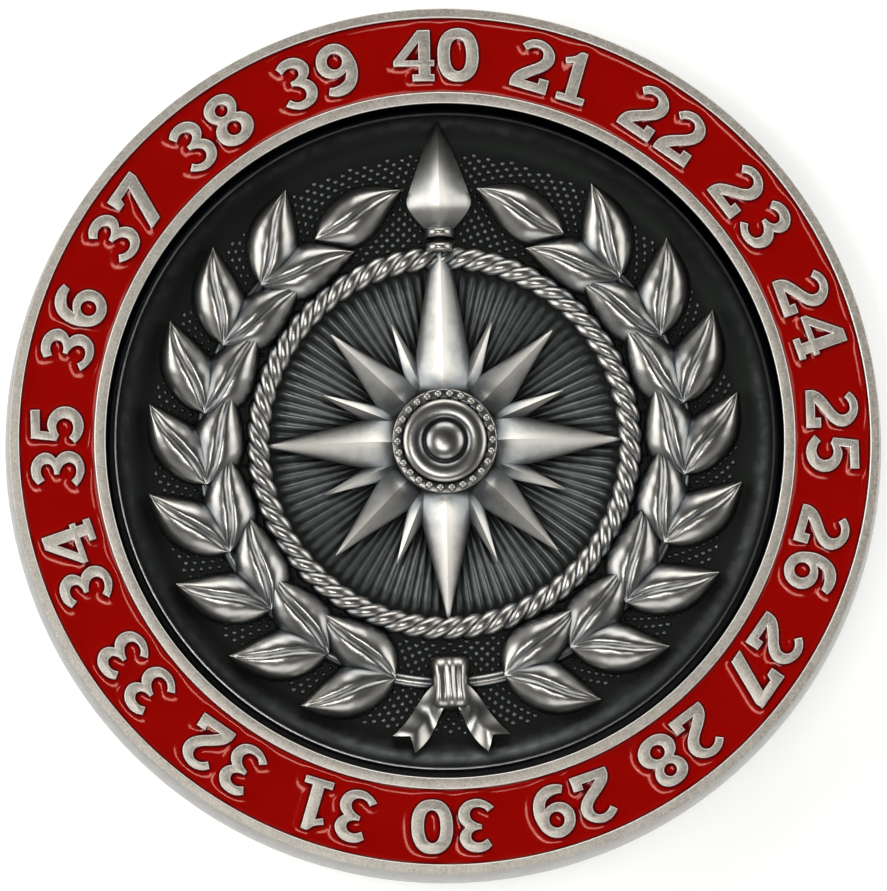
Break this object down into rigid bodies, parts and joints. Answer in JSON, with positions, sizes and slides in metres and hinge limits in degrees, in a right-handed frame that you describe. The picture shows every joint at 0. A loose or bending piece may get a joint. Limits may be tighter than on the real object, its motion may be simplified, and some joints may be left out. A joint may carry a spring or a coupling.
{
  "type": "life counter",
  "caption": "Coin-shaped metal life counter: a numbered, enamelled ring with a relief dial and pointer that turns inside it.",
  "frame": {"origin": "centre of the back rim's face, which the counter lies on", "axes": "+Z along the dial's spin axis, out of the front face; +Y from the centre to the number 40, where the pointer rests; +X to the right seen from the front"},
  "size_m": [0.05, 0.05, 0.007],
  "materials": {
    "ring_metal": "satin antique silver plate over zinc casting",
    "enamel": "glossy red soft enamel",
    "relief_metal": "antique silver plate, dark in the recesses and polished on the heights",
    "glide_ring": "black acetal",
    "bush": "turned",
    "drag_ring": "moulded",
    "pin_steel": "ground"
  },
  "bodies": {
    "ring": {"outer_ring": "ring_metal", "front_enamel": "enamel", "back_enamel": "enamel", "front_glide_ring": "glide_ring", "back_glide_ring": "glide_ring"},
    "dial": {"front_disc": "relief_metal", "back_disc": "relief_metal", "bearing_bush": "bush", "drag_ring": "drag_ring", "dowel_pins": "pin_steel"}
  },
  "joints": [
    {"name": "dial_spin", "type": "hinge", "parent": "ring", "child": "dial", "pos_m": [0, 0, 0.0035], "axis": [0, 0, 1], "continuous": true}
  ]
}
